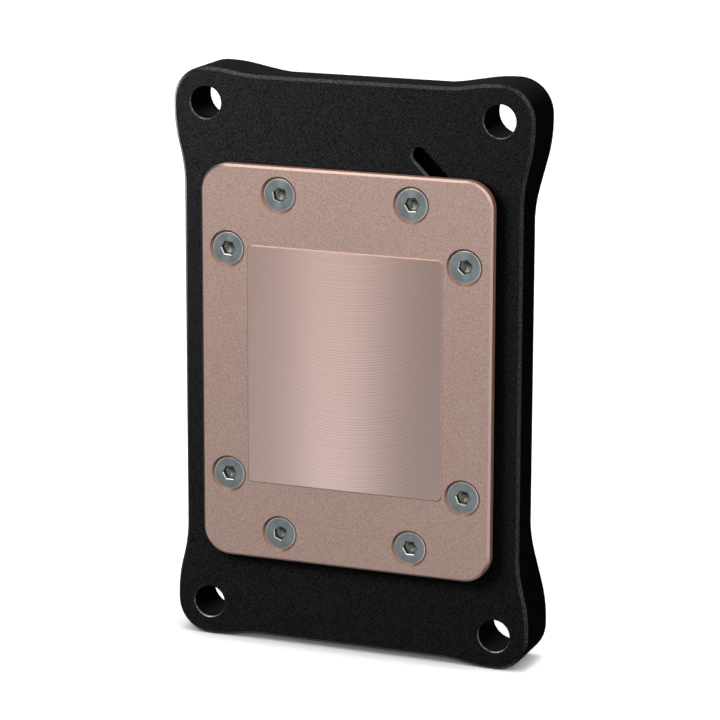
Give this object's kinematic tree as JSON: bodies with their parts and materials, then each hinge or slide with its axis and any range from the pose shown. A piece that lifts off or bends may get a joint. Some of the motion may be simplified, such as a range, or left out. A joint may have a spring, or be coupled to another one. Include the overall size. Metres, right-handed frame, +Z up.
{
  "type": "cpu water block",
  "caption": "Waisted black water block with corner lobes, a raised copper contact pad, countersunk hex-socket screws, ported back and corner through holes.",
  "frame": {"origin": "on the ground, under the middle of the whole width and depth, with the block upright on its two bottom lobes", "axes": "+Z up along the long side, -Y out of the copper side, +X to the right of someone who faces the copper"},
  "size_m": [0.0688, 0.0142, 0.1068],
  "materials": {
    "body": "matte black coating with a fine blasted grain on the front and smooth side walls",
    "copper": "milled copper",
    "jet_plate": "plain sheet steel",
    "jet_insert": "moulded",
    "seal": "soft",
    "screws": "turned and lightly blued"
  },
  "bodies": {
    "root": {"body": "body", "cold_plate": "copper", "jet_plate": "jet_plate", "jet_insert": "jet_insert", "main_seal": "seal", "screw_1": "screws", "screw_2": "screws", "screw_3": "screws", "screw_4": "screws", "screw_5": "screws", "screw_6": "screws", "screw_7": "screws", "screw_8": "screws"}
  },
  "joints": []
}
